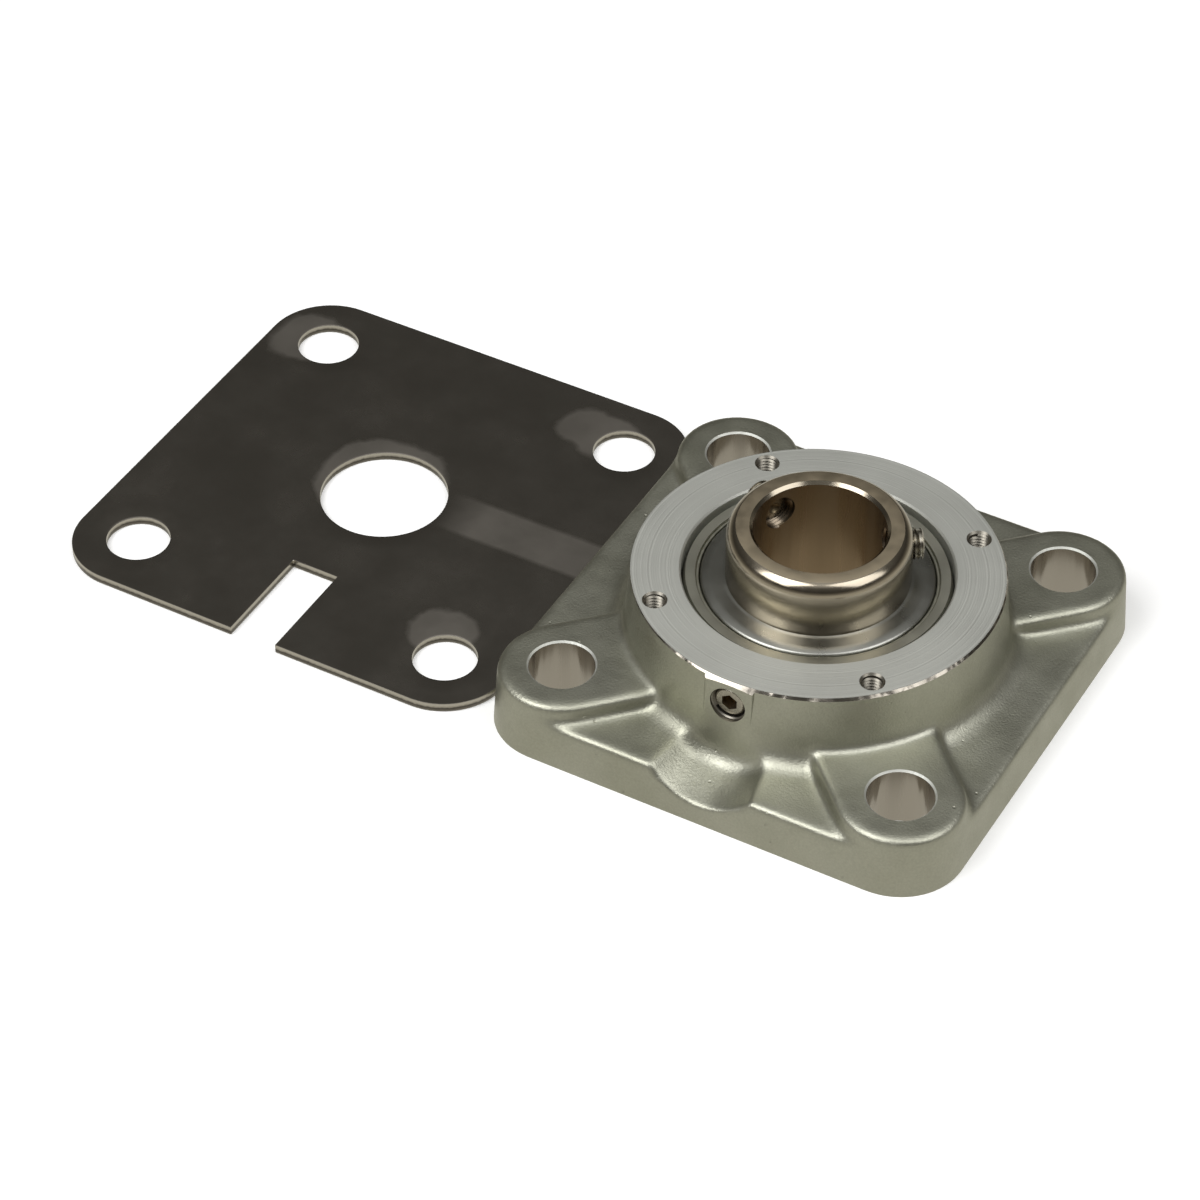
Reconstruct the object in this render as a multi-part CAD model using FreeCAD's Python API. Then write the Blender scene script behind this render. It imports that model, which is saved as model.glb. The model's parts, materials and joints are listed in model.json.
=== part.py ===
import FreeCAD, Part
import math
import os

os.makedirs("parts", exist_ok=True)

# Four-bolt square flange bearing with a set-screw insert, and its loose backing plate.
# Millimetres. The origin is on the bore axis, in the plane of the housing's base, and +Z points out
# of the machined face. The grease plug is on the -Y side and the backing plate lies beside -X.

# ---------------------------------------------------------------- driving dimensions
BOLT_SPACING = 70.0          # hole to hole, both ways
FLANGE = 96.0                # side of the square flange and of the backing plate
CORNER_R = FLANGE / 2 - BOLT_SPACING / 2
BOLT_HOLE_R = 6.25
SHAFT_R = 12.5
FACE_Z = 24.85               # machined face that takes a cover
CENTRE_Z = 15.6              # centre of the spherical seat and of the balls
INNER_RING_LOW = 1.3
INNER_RING_HIGH = 35.4

# housing casting
WEB_Z = 9.3
PAD_Z = 12.9
WEB_ROUND = 1.5
PAD_ROUND = 2.0
HUB_TOP_R = 34.9
HUB_FOOT_R = 36.2
HUB_FOOT_FILLET = 6.0
HUB_FOOT_Z = 9.8
HUB_BORE_R = 25.6
EDGE_BREAK = 0.5
SEAT_R = 26.05
COVER_HOLE_PITCH_R = 31.7
COVER_HOLE_R = 2.0
COVER_HOLE_DEPTH = 9.0
COVER_SINK_R = 2.35
LOADING_SLOT_WIDTH = 16.6

# boss, plug and relief on the -Y side
BOSS_Y = -35.5
BOSS_HALF = 5.0
BOSS_TOP_Z = 23.9
PLUG_Z = 19.6
PLUG_HOLE_R = 3.05
PLUG_HOLE_DEPTH = 5.0
PLUG_R = 3.0
PLUG_LENGTH = 4.2
PLUG_SUNK = 0.5
PLUG_SOCKET_FLATS = 3.0
GREASE_HOLE_R = 1.3
RELIEF_HALF = 10.0
RELIEF_R = 13.2
RELIEF_EDGE_Z = 5.0
RELIEF_INNER_Z = 7.0

# bearing insert
RING_R = 26.0
RING_HALF = 8.0
RING_SHOULDER_R = 21.6
RING_RECESS_R = 22.8
RING_RECESS_DZ = 5.4
PITCH_R = 19.25
BALL_R = 3.969
BALL_COUNT = 9
BALL_GAP = 0.13
INNER_SHOULDER_R = 16.9
FLINGER_SEAT_R = 17.0
COLLAR_R = 17.4
COLLAR_FACE_R = 15.63
COLLAR_ROUND = 3.0           # rounding that runs from the collar's side up to its end face
BORE_CHAMFER = 0.6
REAR_ROUND = 1.0
SCREW_R = 3.0
SCREW_GAP = 0.05
SCREW_Z = 29.9
SCREW_ANGLES = (154.0, 34.0)
SCREW_TIP_R = 14.0
SCREW_HEAD_R = 19.3
SCREW_SOCKET_FLATS = 3.0
SCREW_SOCKET_DEPTH = 2.6
SCREW_CHAMFER = 0.5

# cage and seals
CAGE_SHEET = 0.8
CAGE_INNER_R = 17.9
CAGE_OUTER_R = 20.6
RIVET_R = 0.6
RIVET_HEAD_R = 1.1
RIVET_HEAD = 0.4
SHIELD_SHEET = 0.6
SHIELD_INNER_R = 18.4
SHIELD_RIM_DZ = 7.6
LIP_INNER_R = 17.08
LIP_OUTER_R = 19.6
FLINGER_SHEET = 0.6
FLINGER_OUTER_R = 22.0
FLINGER_LOW_DZ = 6.8
FLINGER_TOP_DZ = 8.35

# backing plate
PLATE_THICK = 1.9
PLATE_GAP = 0.3
PLATE_X = -(FLANGE + PLATE_GAP)
PLATE_Y = 1.2
PLATE_HOLE_R = 12.7
NOTCH_HALF = 5.0
NOTCH_END_Y = -25.6

THROUGH = 120.0              # longer than anything it has to cut through
UP = FreeCAD.Vector(0, 0, 1)
ORIGIN = FreeCAD.Vector(0, 0, 0)


# ---------------------------------------------------------------- shared steps
def turned(outline):
    """Full turn about Z of a closed outline in (radius, height). An item ((r, z), (r, z)) is an arc
    through its first point to its second; the outline closes with a straight line."""
    edges = []
    here = outline[0]
    for step in outline[1:] + [outline[0]]:
        if isinstance(step[0], tuple):
            middle, end = step
            corners = [FreeCAD.Vector(r, 0, z) for r, z in (here, middle, end)]
            edges.append(Part.Arc(*corners).toShape())
            here = end
        elif step != here:
            ends = [FreeCAD.Vector(r, 0, z) for r, z in (here, step)]
            edges.append(Part.makeLine(*ends))
            here = step
    face = Part.Face(Part.Wire(edges))
    return face.revolve(ORIGIN, UP, 360)


def on_axis(radius, low, high):
    return Part.makeCylinder(radius, high - low, FreeCAD.Vector(0, 0, low))


def hex_prism(flats, length):
    """Six-sided prism from z = 0 up, for a socket."""
    corner_r = flats / math.sqrt(3)
    turns = [math.radians(60 * i) for i in range(7)]
    corners = [FreeCAD.Vector(corner_r * math.cos(turn), corner_r * math.sin(turn), 0) for turn in turns]
    return Part.Face(Part.makePolygon(corners)).extrude(UP * length)


def rounded_square(side, corner_r, height):
    """Square prism centred on Z with rounded upright edges."""
    block = Part.makeBox(side, side, height, FreeCAD.Vector(-side / 2, -side / 2, 0))
    upright = [e for e in block.Edges if abs(e.Vertexes[0].Z - e.Vertexes[1].Z) > height / 2]
    return block.makeFillet(corner_r, upright)


def edges_at(shape, z):
    """Edges that lie wholly in the plane at height z."""
    return [e for e in shape.Edges if abs(e.BoundBox.ZMin - z) < 1e-4 and abs(e.BoundBox.ZMax - z) < 1e-4]


def four_corners(half):
    return [FreeCAD.Vector(x, y, 0) for x, y in ((half, half), (-half, half), (-half, -half), (half, -half))]


def flipped(shape):
    """The same piece on the other side of the ball row."""
    return shape.mirror(FreeCAD.Vector(0, 0, CENTRE_Z), UP)


def save(name, shape):
    solids = shape.Solids
    piece = solids[0] if len(solids) == 1 else Part.makeCompound(solids)
    assert piece.isValid(), name
    piece.exportStep("parts/" + name + ".step")
    print("%-20s %d solid(s) %9.1f mm3" % (name, len(solids), piece.Volume))


# ---------------------------------------------------------------- housing
def arm(corner):
    """Raised pad from the hub out to one bolt hole, with a rounded shoulder."""
    reach = corner.Length
    bar = Part.makeBox(reach, 2 * CORNER_R, PAD_Z, FreeCAD.Vector(0, -CORNER_R, 0))
    end = Part.makeCylinder(CORNER_R, PAD_Z, FreeCAD.Vector(reach, 0, 0))
    pad = bar.fuse(end).removeSplitter()
    pad = pad.makeFillet(PAD_ROUND, edges_at(pad, PAD_Z))
    pad.rotate(ORIGIN, UP, math.degrees(math.atan2(corner.y, corner.x)))
    return pad


def hub():
    """Drafted round hub that runs out into the web with a concave fillet."""
    centre = (HUB_FOOT_R + HUB_FOOT_FILLET, HUB_FOOT_Z + HUB_FOOT_FILLET)
    middle = (centre[0] - HUB_FOOT_FILLET * math.sqrt(0.5), centre[1] - HUB_FOOT_FILLET * math.sqrt(0.5))
    return turned([(0, 0), (0, FACE_Z), (HUB_TOP_R - EDGE_BREAK, FACE_Z), (HUB_TOP_R, FACE_Z - EDGE_BREAK),
                   (HUB_FOOT_R, centre[1]), (middle, (centre[0], HUB_FOOT_Z)),
                   (FLANGE / 2 - WEB_ROUND, WEB_Z), (FLANGE / 2 - WEB_ROUND, 0)])


def relief():
    """Shallow trough below the plug, open at the flange's edge."""
    run = FLANGE / 2 + BOSS_Y
    slope = math.atan2(RELIEF_INNER_Z - RELIEF_EDGE_Z, run)
    start = FreeCAD.Vector(0, -FLANGE / 2, RELIEF_EDGE_Z + RELIEF_R / math.cos(slope))
    along = FreeCAD.Vector(0, math.cos(slope), math.sin(slope))
    trough = Part.makeCylinder(RELIEF_R, 4 * run, start - along * 2 * run, along)
    limits = Part.makeBox(2 * RELIEF_HALF, 2 * run, FACE_Z,
                          FreeCAD.Vector(-RELIEF_HALF, BOSS_Y - 2 * run, 0))
    ceiling = Part.makeBox(THROUGH, THROUGH, THROUGH,
                           FreeCAD.Vector(-THROUGH / 2, -THROUGH, HUB_FOOT_Z + HUB_FOOT_FILLET))
    return trough.common(limits).cut(ceiling)


def boss():
    """Flat that the grease plug is screwed into."""
    back = HUB_TOP_R - 2 * BOSS_HALF
    shoulder_z = FACE_Z - EDGE_BREAK
    section = ((-back, WEB_Z), (BOSS_Y, WEB_Z - 2), (BOSS_Y, BOSS_TOP_Z),
               (-HUB_TOP_R + EDGE_BREAK, shoulder_z), (-back, shoulder_z), (-back, WEB_Z))
    outline = [FreeCAD.Vector(-BOSS_HALF, y, z) for y, z in section]
    return Part.Face(Part.makePolygon(outline)).extrude(FreeCAD.Vector(2 * BOSS_HALF, 0, 0))


def bearing_room():
    """Bore with the spherical seat, and the two slots behind it that let the insert in sideways."""
    room = on_axis(HUB_BORE_R, -1, FACE_Z + 1)
    seat = Part.makeSphere(SEAT_R, FreeCAD.Vector(0, 0, CENTRE_Z))
    slots = on_axis(SEAT_R, -1, CENTRE_Z)
    band = Part.makeBox(2 * SEAT_R, LOADING_SLOT_WIDTH, CENTRE_Z + 1,
                        FreeCAD.Vector(-SEAT_R, -LOADING_SLOT_WIDTH / 2, -1))
    mouth = Part.makeCone(HUB_BORE_R, HUB_BORE_R + 2 * EDGE_BREAK, 2 * EDGE_BREAK,
                          FreeCAD.Vector(0, 0, FACE_Z - EDGE_BREAK))
    return room.fuse([seat, slots.common(band), mouth])


def cover_hole(angle):
    """Blind M4 hole, cut at the thread's outside diameter, with a countersunk mouth."""
    hole = on_axis(COVER_HOLE_R, FACE_Z - COVER_HOLE_DEPTH, FACE_Z + 1)
    sink = COVER_SINK_R - COVER_HOLE_R
    mouth = Part.makeCone(COVER_HOLE_R, COVER_SINK_R + sink, 2 * sink, FreeCAD.Vector(0, 0, FACE_Z - sink))
    drilled = hole.fuse(mouth)
    drilled.translate(FreeCAD.Vector(COVER_HOLE_PITCH_R, 0, 0))
    drilled.rotate(ORIGIN, UP, angle)
    return drilled


def plug_hole():
    """Tapped hole for the grease plug, and the small drilling on to the insert."""
    inward = FreeCAD.Vector(0, 1, 0)
    start = FreeCAD.Vector(0, BOSS_Y - 1, PLUG_Z)
    tapped = Part.makeCylinder(PLUG_HOLE_R, PLUG_HOLE_DEPTH + 1, start, inward)
    drilling = Part.makeCylinder(GREASE_HOLE_R, HUB_TOP_R - SEAT_R + 5, start, inward)
    return tapped.fuse(drilling)


def housing():
    slab = rounded_square(FLANGE, CORNER_R, WEB_Z)
    slab = slab.makeFillet(WEB_ROUND, edges_at(slab, WEB_Z))
    corners = four_corners(BOLT_SPACING / 2)
    casting = slab.fuse([arm(corner) for corner in corners] + [hub()])
    casting = casting.cut(relief()).fuse(boss())
    bolt_holes = [Part.makeCylinder(BOLT_HOLE_R, THROUGH, corner - UP) for corner in corners]
    cover_holes = [cover_hole(angle) for angle in (45, 135, 225, 315)]
    return casting.cut([bearing_room(), plug_hole()] + bolt_holes + cover_holes)


# ---------------------------------------------------------------- grease plug
def grease_plug():
    """Headless M6 plug, just below the boss, with a hexagon socket."""
    plug = Part.makeCylinder(PLUG_R, PLUG_LENGTH)
    plug = plug.makeChamfer(SCREW_CHAMFER, edges_at(plug, 0) + edges_at(plug, PLUG_LENGTH))
    socket = hex_prism(PLUG_SOCKET_FLATS, PLUG_LENGTH)
    socket.translate(UP * (PLUG_LENGTH - SCREW_SOCKET_DEPTH))
    plug = plug.cut(socket)
    plug.rotate(ORIGIN, FreeCAD.Vector(1, 0, 0), 90)
    plug.translate(FreeCAD.Vector(0, BOSS_Y + PLUG_SUNK + PLUG_LENGTH, PLUG_Z))
    return plug


# ---------------------------------------------------------------- bearing insert
def race():
    """Ball groove shared by both rings, a little larger than the balls."""
    return Part.makeTorus(PITCH_R, BALL_R + BALL_GAP, FreeCAD.Vector(0, 0, CENTRE_Z))


def outer_ring():
    """Ring with a spherical outside, so that it can tilt in its seat, recessed for the seals."""
    edge_r = math.sqrt(RING_R ** 2 - RING_HALF ** 2)
    rise = RING_RECESS_DZ
    band = turned([(RING_SHOULDER_R, CENTRE_Z - rise), (RING_RECESS_R, CENTRE_Z - rise),
                   (RING_RECESS_R, CENTRE_Z - RING_HALF), (edge_r, CENTRE_Z - RING_HALF),
                   ((RING_R, CENTRE_Z), (edge_r, CENTRE_Z + RING_HALF)),
                   (RING_RECESS_R, CENTRE_Z + RING_HALF), (RING_RECESS_R, CENTRE_Z + rise),
                   (RING_SHOULDER_R, CENTRE_Z + rise)])
    return band.cut(race())


def screw_axis(angle, radius):
    turn = math.radians(angle)
    return FreeCAD.Vector(radius * math.cos(turn), radius * math.sin(turn), SCREW_Z)


def inner_ring():
    """Wide inner ring with the collar that carries the set screws on its long side."""
    low, high = INNER_RING_LOW, INNER_RING_HIGH
    step_z = CENTRE_Z + FLINGER_TOP_DZ
    reach = COLLAR_FACE_R - (COLLAR_R - COLLAR_ROUND)
    sweep = math.acos(reach / COLLAR_ROUND)
    round_end = (COLLAR_R, high - COLLAR_ROUND * math.sin(sweep))
    round_middle = (COLLAR_R - COLLAR_ROUND * (1 - math.cos(sweep / 2)),
                    round_end[1] + COLLAR_ROUND * math.sin(sweep / 2))
    rear_cut = REAR_ROUND * (1 - math.sqrt(0.5))
    ring = turned([(SHAFT_R + BORE_CHAMFER, low), (FLINGER_SEAT_R - REAR_ROUND, low),
                   ((FLINGER_SEAT_R - rear_cut, low + rear_cut), (FLINGER_SEAT_R, low + REAR_ROUND)),
                   (FLINGER_SEAT_R, CENTRE_Z - RING_RECESS_DZ),
                   (INNER_SHOULDER_R, CENTRE_Z - RING_RECESS_DZ),
                   (INNER_SHOULDER_R, CENTRE_Z + RING_RECESS_DZ),
                   (FLINGER_SEAT_R, CENTRE_Z + RING_RECESS_DZ),
                   (FLINGER_SEAT_R, step_z), (COLLAR_R, step_z), round_end,
                   (round_middle, (COLLAR_FACE_R, high)), (SHAFT_R + BORE_CHAMFER, high),
                   (SHAFT_R, high - BORE_CHAMFER), (SHAFT_R, low + BORE_CHAMFER)])
    holes = []
    for angle in SCREW_ANGLES:
        outward = screw_axis(angle, 1) - UP * SCREW_Z
        start = screw_axis(angle, SHAFT_R / 2)
        holes.append(Part.makeCylinder(SCREW_R + SCREW_GAP, COLLAR_R, start, outward))
    return ring.cut([race()] + holes)


def set_screw(angle):
    """Headless M6 screw, not yet tightened on a shaft, so it stands proud of the collar."""
    length = SCREW_HEAD_R - SCREW_TIP_R
    screw = Part.makeCylinder(SCREW_R, length)
    screw = screw.makeChamfer(SCREW_CHAMFER, edges_at(screw, 0) + edges_at(screw, length))
    socket = hex_prism(SCREW_SOCKET_FLATS, length)
    socket.translate(UP * (length - SCREW_SOCKET_DEPTH))
    cup = Part.makeCone(SCREW_R / 2, 0, SCREW_R / 2)
    screw = screw.cut([socket, cup])
    screw.rotate(ORIGIN, FreeCAD.Vector(0, 1, 0), 90)
    screw.rotate(ORIGIN, UP, angle)
    screw.translate(screw_axis(angle, SCREW_TIP_R))
    return screw


def ball_centre(index):
    angle = 2 * math.pi * index / BALL_COUNT
    return FreeCAD.Vector(PITCH_R * math.cos(angle), PITCH_R * math.sin(angle), CENTRE_Z)


def rivet_angles():
    return [360.0 * (index + 0.5) / BALL_COUNT for index in range(BALL_COUNT)]


def at_rivets(shape):
    copies = []
    for angle in rivet_angles():
        copy = shape.copy()
        copy.translate(FreeCAD.Vector(PITCH_R, 0, 0))
        copy.rotate(ORIGIN, UP, angle)
        copies.append(copy)
    return copies


def cage_front_half():
    """Pressed ribbon with a cup over the front of each ball."""
    pocket_r = BALL_R + BALL_GAP
    ribbon = on_axis(CAGE_OUTER_R, CENTRE_Z, CENTRE_Z + CAGE_SHEET)
    cups = [Part.makeSphere(pocket_r + CAGE_SHEET, ball_centre(i)) for i in range(BALL_COUNT)]
    pockets = [Part.makeSphere(pocket_r, ball_centre(i)) for i in range(BALL_COUNT)]
    limits = on_axis(CAGE_OUTER_R, CENTRE_Z, CENTRE_Z + RING_HALF).cut(on_axis(CAGE_INNER_R, 0, THROUGH))
    rivet_holes = at_rivets(on_axis(RIVET_R, 0, THROUGH))
    return ribbon.fuse(cups).common(limits).cut(pockets + rivet_holes)


def cage_rivets():
    """One rivet between each pair of balls, joining the two ribbons."""
    reach = CAGE_SHEET + RIVET_HEAD
    shank = on_axis(RIVET_R, CENTRE_Z - reach, CENTRE_Z + reach)
    heads = [on_axis(RIVET_HEAD_R, CENTRE_Z + CAGE_SHEET, CENTRE_Z + reach),
             on_axis(RIVET_HEAD_R, CENTRE_Z - reach, CENTRE_Z - CAGE_SHEET)]
    return Part.makeCompound(at_rivets(shank.fuse(heads).removeSplitter()))


# ---------------------------------------------------------------- seals
def seal_shield():
    """Pressed steel carrier held in the outer ring's recess, with an upstanding rim."""
    low = CENTRE_Z + RING_RECESS_DZ
    rim_r = RING_RECESS_R - SHIELD_SHEET
    return turned([(SHIELD_INNER_R, low), (RING_RECESS_R, low), (RING_RECESS_R, CENTRE_Z + SHIELD_RIM_DZ),
                   (rim_r, CENTRE_Z + SHIELD_RIM_DZ), (rim_r, low + SHIELD_SHEET),
                   (SHIELD_INNER_R, low + SHIELD_SHEET)])


def seal_lip():
    """Rubber lip bonded on the carrier, running close to the inner ring."""
    low = CENTRE_Z + RING_RECESS_DZ
    top = low + SHIELD_SHEET
    return turned([(LIP_INNER_R, low + 0.1), (SHIELD_INNER_R, low + 0.1), (SHIELD_INNER_R, top),
                   (LIP_OUTER_R, top), (LIP_OUTER_R - 0.2, top + 0.35), (LIP_INNER_R + 0.5, top + 0.35),
                   (LIP_INNER_R, top)])


def front_flinger():
    """Dished guard ring pressed on the inner ring, with a rolled outer edge over the seal."""
    low = CENTRE_Z + FLINGER_LOW_DZ
    top = CENTRE_Z + FLINGER_TOP_DZ
    sheet = FLINGER_SHEET
    rim_r = FLINGER_OUTER_R
    bend = rim_r - 1.0
    return turned([(FLINGER_SEAT_R, low), (FLINGER_SEAT_R + sheet, low),
                   (FLINGER_SEAT_R + sheet, top - sheet),
                   (bend - 0.1, top - sheet - 0.45),
                   ((rim_r - sheet - 0.12, top - 1.2), (rim_r - sheet, low + 0.1)),
                   (rim_r, low + 0.1),
                   ((rim_r - 0.25, top - 0.8), (bend, top - 0.45)),
                   (FLINGER_SEAT_R, top)])


# ---------------------------------------------------------------- backing plate
def backing_plate():
    """Flat sheet with the flange's own hole pattern, a shaft hole and a relief notch."""
    plate = rounded_square(FLANGE, CORNER_R, PLATE_THICK)
    corners = four_corners(BOLT_SPACING / 2)
    cuts = [Part.makeCylinder(BOLT_HOLE_R, THROUGH, corner - UP) for corner in corners]
    cuts.append(on_axis(PLATE_HOLE_R, -1, PLATE_THICK + 1))
    cuts.append(Part.makeBox(2 * NOTCH_HALF, FLANGE, PLATE_THICK + 2,
                             FreeCAD.Vector(-NOTCH_HALF, NOTCH_END_Y - FLANGE, -1)))
    plate = plate.cut(cuts)
    plate.translate(FreeCAD.Vector(PLATE_X, PLATE_Y, 0))
    return plate


# ---------------------------------------------------------------- write the nodes
save("housing", housing())
save("grease_plug", grease_plug())
save("outer_ring", outer_ring())
save("inner_ring", inner_ring())
for number, screw_angle in enumerate(SCREW_ANGLES, start=1):
    save("set_screw_%d" % number, set_screw(screw_angle))
for index in range(BALL_COUNT):
    save("ball_%d" % (index + 1), Part.makeSphere(BALL_R, ball_centre(index)))
front_half = cage_front_half()
save("cage_front_half", front_half)
save("cage_rear_half", flipped(front_half))
save("cage_rivets", cage_rivets())
for side, place in (("front", lambda shape: shape), ("rear", flipped)):
    save(side + "_seal_shield", place(seal_shield()))
    save(side + "_seal_lip", place(seal_lip()))
    save(side + "_flinger", place(front_flinger()))
save("backing_plate", backing_plate())
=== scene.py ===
import json
import math

import bmesh
import bpy
from mathutils import Matrix, Vector


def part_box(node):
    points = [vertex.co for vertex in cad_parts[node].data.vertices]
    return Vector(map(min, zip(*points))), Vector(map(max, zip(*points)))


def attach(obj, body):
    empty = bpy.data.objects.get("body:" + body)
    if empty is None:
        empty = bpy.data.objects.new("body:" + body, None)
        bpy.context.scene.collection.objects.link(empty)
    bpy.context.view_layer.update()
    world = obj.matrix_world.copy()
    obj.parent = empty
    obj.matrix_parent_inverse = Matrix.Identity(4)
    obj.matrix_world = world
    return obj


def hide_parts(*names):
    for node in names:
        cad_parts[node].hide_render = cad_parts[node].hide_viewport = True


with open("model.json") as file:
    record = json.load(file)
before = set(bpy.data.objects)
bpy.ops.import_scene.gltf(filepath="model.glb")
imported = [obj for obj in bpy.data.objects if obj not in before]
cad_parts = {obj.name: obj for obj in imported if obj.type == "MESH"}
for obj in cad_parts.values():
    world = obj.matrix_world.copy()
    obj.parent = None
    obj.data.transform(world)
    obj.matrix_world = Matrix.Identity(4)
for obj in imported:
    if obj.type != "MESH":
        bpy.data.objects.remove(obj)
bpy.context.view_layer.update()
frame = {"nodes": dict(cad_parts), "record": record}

mounts = {mount["name"]: mount for mount in frame["record"]["mounts"]}

# ---------------------------------------------------------------- camera
# A long lens looks down on the bearing from its front right. It stands well back, so that the square
# flange keeps its shape, and everything is in focus.
CAMERA_AZIMUTH = math.radians(29.217)
CAMERA_ELEVATION = math.radians(42.067)
CAMERA_ROLL = math.radians(0.136)
CAMERA_DISTANCE = 0.76735
CAMERA_LENS = 123.85
LOOK_AT = Vector((-0.03327, -0.02367, 0.02097))

towards_camera = Vector((math.sin(CAMERA_AZIMUTH) * math.cos(CAMERA_ELEVATION),
                         -math.cos(CAMERA_AZIMUTH) * math.cos(CAMERA_ELEVATION),
                         math.sin(CAMERA_ELEVATION)))
camera = bpy.data.objects.new("camera", bpy.data.cameras.new("camera"))
camera.data.lens = CAMERA_LENS
camera.data.sensor_width = 36
camera.data.clip_start = 0.01
camera.location = LOOK_AT + towards_camera * CAMERA_DISTANCE
turn = towards_camera.to_track_quat("Z", "Y").to_matrix() @ Matrix.Rotation(CAMERA_ROLL, 3, "Z")
camera.rotation_euler = turn.to_euler()
bpy.context.collection.objects.link(camera)
bpy.context.scene.camera = camera
bpy.context.scene.view_settings.view_transform = "Standard"


# ---------------------------------------------------------------- floor and light
# A plain white table in a soft studio: one large softbox each side of the camera, in a room that is
# bright overhead and dim behind the table, which is what the level polished faces mirror.
def linear(hex_colour):
    """sRGB hex to the linear colour that a shader takes."""
    channels = [int(hex_colour[i:i + 2], 16) / 255 for i in (1, 3, 5)]
    return [c / 12.92 if c <= 0.04045 else ((c + 0.055) / 1.055) ** 2.4 for c in channels] + [1.0]


def add(tree, kind, sockets=None, **settings):
    """Adds a node with its settings; a socket is given a value or linked from another socket."""
    made = tree.nodes.new(kind)
    for name, value in settings.items():
        setattr(made, name, value)
    for socket, value in (sockets or {}).items():
        if isinstance(value, bpy.types.NodeSocket):
            tree.links.new(value, made.inputs[socket])
        else:
            made.inputs[socket].default_value = value
    return made


FLOOR_HALF = 3.0
FLOOR_DROP = 0.0001          # keeps the floor clear of the bearing's base
SHADE_R = 0.025
ROOM_FOOT = "#DFDCD2"
ROOM_TOP = "#D8D8D6"
ROOM_BANDS = ((0.40, "#DAD8CE"), (0.52, "#878379"), (0.64, "#45433F"), (0.87, "#666561"), (0.95, "#C0C0BE"))

floor_mesh = bmesh.new()
bmesh.ops.create_grid(floor_mesh, x_segments=1, y_segments=1, size=FLOOR_HALF)
floor = bpy.data.objects.new("floor", bpy.data.meshes.new("floor"))
floor_mesh.to_mesh(floor.data)
bpy.context.collection.objects.link(floor)
floor_paint = bpy.data.materials.new("matt_white_table")
floor_paint.use_nodes = True
floor_shader = floor_paint.node_tree.nodes["Principled BSDF"]
floor_shader.inputs["Base Color"].default_value = linear("#F4F4F4")
floor_shader.inputs["Roughness"].default_value = 0.9
floor_shader.inputs["Emission Color"].default_value = linear("#FFFFFF")
floor_shader.inputs["Emission Strength"].default_value = 0.24
floor.data.materials.append(floor_paint)
floor.visible_glossy = False
floor.location.z = -FLOOR_DROP

# A disc under the bore is painted shade standing in for the table there. It also glows warm, as painted
# light for the polished bore to reflect. The camera does not see it.
shade_mesh = bmesh.new()
bmesh.ops.create_circle(shade_mesh, cap_ends=True, segments=64, radius=SHADE_R)
shade = bpy.data.objects.new("painted_shade_glow_disc", bpy.data.meshes.new("painted_shade_glow_disc"))
shade_mesh.to_mesh(shade.data)
shade.visible_camera = False
bpy.context.collection.objects.link(shade)
shade_paint = bpy.data.materials.new("painted_shade_warm_glow")
shade_paint.use_nodes = True
shade_shader = shade_paint.node_tree.nodes["Principled BSDF"]
# Dark base colour for the painted shade; the warm emission below is painted light, not a lamp.
shade_shader.inputs["Base Color"].default_value = linear("#3B352C")
shade_shader.inputs["Emission Color"].default_value = linear("#B3A48D")
shade_shader.inputs["Emission Strength"].default_value = 0.85
shade.data.materials.append(shade_paint)

room = bpy.data.worlds.new("studio_room")
room.use_nodes = True
room_tree = room.node_tree
direction = add(room_tree, "ShaderNodeTexCoord")
height = add(room_tree, "ShaderNodeSeparateXYZ", {0: direction.outputs["Generated"]})
level = add(room_tree, "ShaderNodeMapRange", {"Value": height.outputs["Z"], "From Min": -1.0,
                                              "From Max": 1.0})
walls = add(room_tree, "ShaderNodeValToRGB", {0: level.outputs[0]})
ramp = walls.color_ramp
ramp.elements[0].position = 0.0
ramp.elements[0].color = linear(ROOM_FOOT)
ramp.elements[1].position = 1.0
ramp.elements[1].color = linear(ROOM_TOP)
for position, colour in ROOM_BANDS:
    stop = ramp.elements.new(position)
    stop.color = linear(colour)
background = room_tree.nodes["Background"]
room_tree.links.new(walls.outputs["Color"], background.inputs["Color"])
background.inputs["Strength"].default_value = 1.0
bpy.context.scene.world = room


def softbox(name, azimuth, elevation, distance, width, tall, watts):
    """Rectangular lamp at a bearing measured from the camera's own, aimed at the part."""
    bearing = CAMERA_AZIMUTH + math.radians(azimuth)
    lift = math.radians(elevation)
    away = Vector((math.sin(bearing) * math.cos(lift), -math.cos(bearing) * math.cos(lift), math.sin(lift)))
    lamp = bpy.data.lights.new(name, "AREA")
    lamp.shape = "RECTANGLE"
    lamp.size = width
    lamp.size_y = tall
    lamp.energy = watts
    holder = bpy.data.objects.new(name, lamp)
    holder.location = away * distance
    holder.rotation_euler = away.to_track_quat("Z", "Y").to_euler()
    bpy.context.collection.objects.link(holder)


softbox("softbox_left", -58, 52, 1.0, 0.60, 0.85, 7.4)
softbox("softbox_right", 62, 52, 1.0, 0.64, 0.85, 4.4)


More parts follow.
